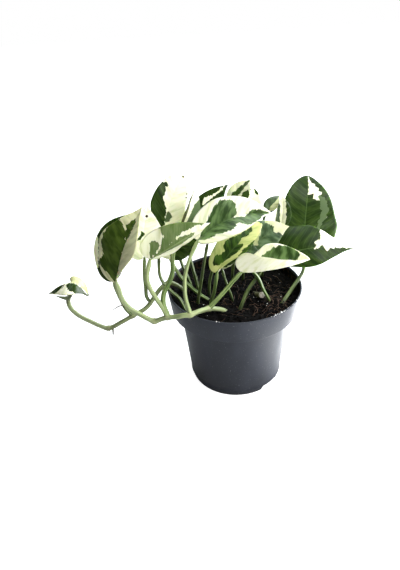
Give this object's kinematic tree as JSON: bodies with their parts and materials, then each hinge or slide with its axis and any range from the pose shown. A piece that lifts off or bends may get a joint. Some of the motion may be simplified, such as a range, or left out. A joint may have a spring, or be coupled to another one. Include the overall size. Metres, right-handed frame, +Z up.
{
  "type": "potted pothos plant",
  "caption": "Small potted trailing vine with heart-shaped variegated leaves on long petioles, in a round collared plastic nursery pot filled with dark soil.",
  "frame": {"origin": "middle of the pot's foot, on the surface that it stands on", "axes": "+Z up along the pot's axis, -Y towards the viewer of the picture, -X towards the side that the vine trails over"},
  "size_m": [0.2662, 0.12, 0.1879],
  "materials": {
    "pot_plastic": "smooth, soft sheen",
    "soil": "crumbly, dull",
    "stem_green": "smooth, waxy",
    "stem_light": "smooth, waxy",
    "cut_stem": "dry, fibrous",
    "leaf_green": "waxy, semi-gloss",
    "leaf_cream": "waxy, semi-gloss"
  },
  "bodies": {
    "root": {"pot": "pot_plastic", "soil": "soil", "vine_left": "stem_green", "vine_front": "stem_light", "petiole_05": "stem_light", "petiole_06": "stem_green", "petiole_08": "stem_green", "petiole_09": "stem_green", "petiole_21": "stem_green", "petiole_11": "stem_green", "petiole_24": "stem_green", "petiole_12": "stem_green", "petiole_13": "stem_green", "petiole_14": "stem_green", "petiole_15": "stem_green", "petiole_16": "stem_green", "petiole_22": "stem_light", "petiole_19": "stem_green", "petiole_23": "stem_green", "petiole_18": "stem_light", "cut_stem": "cut_stem", "leaf_01": "leaf_green", "leaf_02": "leaf_green", "leaf_03": "leaf_green", "leaf_04": "leaf_cream", "leaf_05": "leaf_green", "leaf_06": "leaf_green", "leaf_07": "leaf_green", "leaf_08": "leaf_green", "leaf_20": "leaf_green", "leaf_09": "leaf_green", "leaf_10": "leaf_green", "leaf_21": "leaf_green", "leaf_11": "leaf_green", "leaf_24": "leaf_green", "leaf_12": "leaf_green", "leaf_13": "leaf_green", "leaf_14": "leaf_green", "leaf_15": "leaf_green", "leaf_16": "leaf_green", "leaf_17": "leaf_cream", "leaf_22": "leaf_green", "leaf_23": "leaf_green", "leaf_18": "leaf_green", "leaf_19": "leaf_green"}
  },
  "joints": []
}
